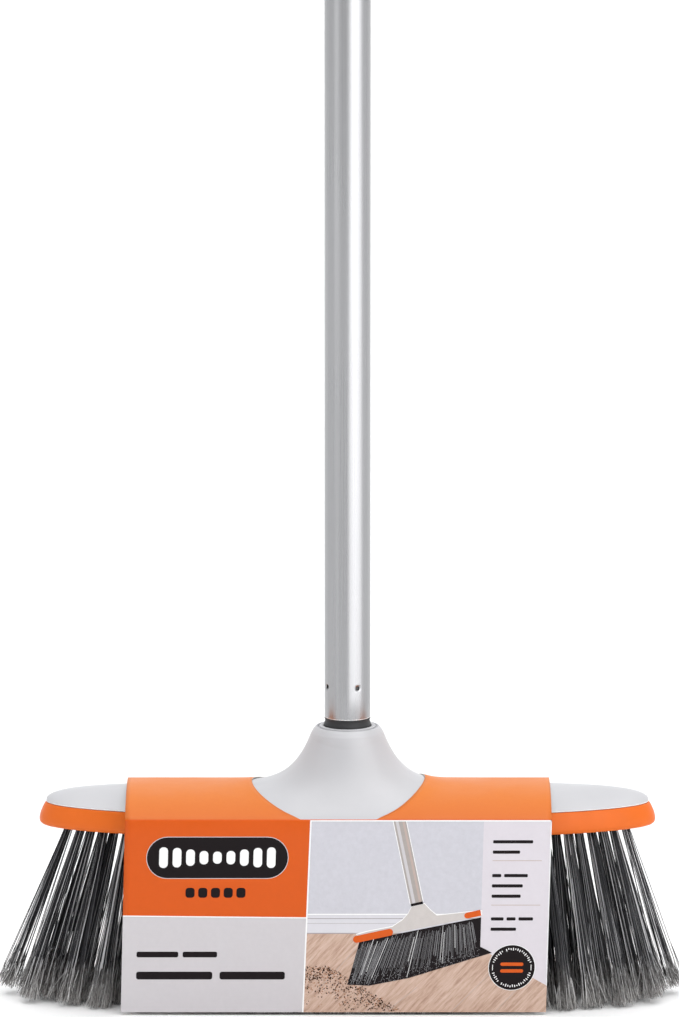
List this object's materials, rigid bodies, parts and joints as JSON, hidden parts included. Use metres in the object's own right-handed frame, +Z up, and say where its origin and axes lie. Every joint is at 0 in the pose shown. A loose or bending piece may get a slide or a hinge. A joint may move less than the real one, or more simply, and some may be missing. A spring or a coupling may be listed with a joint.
{
  "type": "push broom",
  "caption": "Upright push broom: long straight tube handle screwed into a lens-shaped brush head with rubber end bumpers, flared bristles and a card sales sleeve.",
  "frame": {"origin": "on the floor under the handle's axis, at the level of the bristle tips", "axes": "+Z up along the handle, +X along the head towards the viewer's right, -Y towards the front of the sleeve"},
  "size_m": [0.3754, 0.0972, 1.3363],
  "materials": {
    "tube": "satin drawn and clear-anodised",
    "black_plastic": "fine moulded texture",
    "black_rubber": "matt",
    "grey_plastic": "semi-gloss moulded",
    "orange_rubber": "smooth overmoulded",
    "bristle": "flagged polymer fibre",
    "wire": "flat drawn wire",
    "card": "printed and lightly coated"
  },
  "bodies": {
    "head": {"head_cover": "grey_plastic", "brush_block": "grey_plastic", "left_bumper": "orange_rubber", "right_bumper": "orange_rubber", "bristle_row_1": "bristle", "bristle_row_2": "bristle", "bristle_row_3": "bristle", "bristle_row_4": "bristle", "bristle_row_5": "bristle", "bristle_row_6": "bristle", "anchor_row_1": "wire", "anchor_row_2": "wire", "anchor_row_3": "wire", "anchor_row_4": "wire", "anchor_row_5": "wire", "anchor_row_6": "wire"},
    "ring": {"collar_ring": "black_rubber"},
    "handle": {"handle_tube": "tube", "threaded_insert": "black_plastic", "hang_cap": "black_plastic"},
    "sleeve": {"card_sleeve": "card"}
  },
  "joints": [
    {"name": "handle_rise", "type": "slide", "parent": "head", "child": "ring", "axis": [0, 0, 1], "range_m": [0, 0.02285]},
    {"name": "handle_unscrew", "type": "hinge", "parent": "ring", "child": "handle", "pos_m": [0, 0, 0.16], "axis": [0, 0, 1], "range_deg": [0, 1620]},
    {"name": "sleeve_lift", "type": "slide", "parent": "head", "child": "sleeve", "axis": [0, 0, 1], "range_m": [0, 0.16]}
  ],
  "couplings": [
    {"joint": "handle_unscrew", "follows": "handle_rise", "rad_per_m": 1236.8}
  ]
}
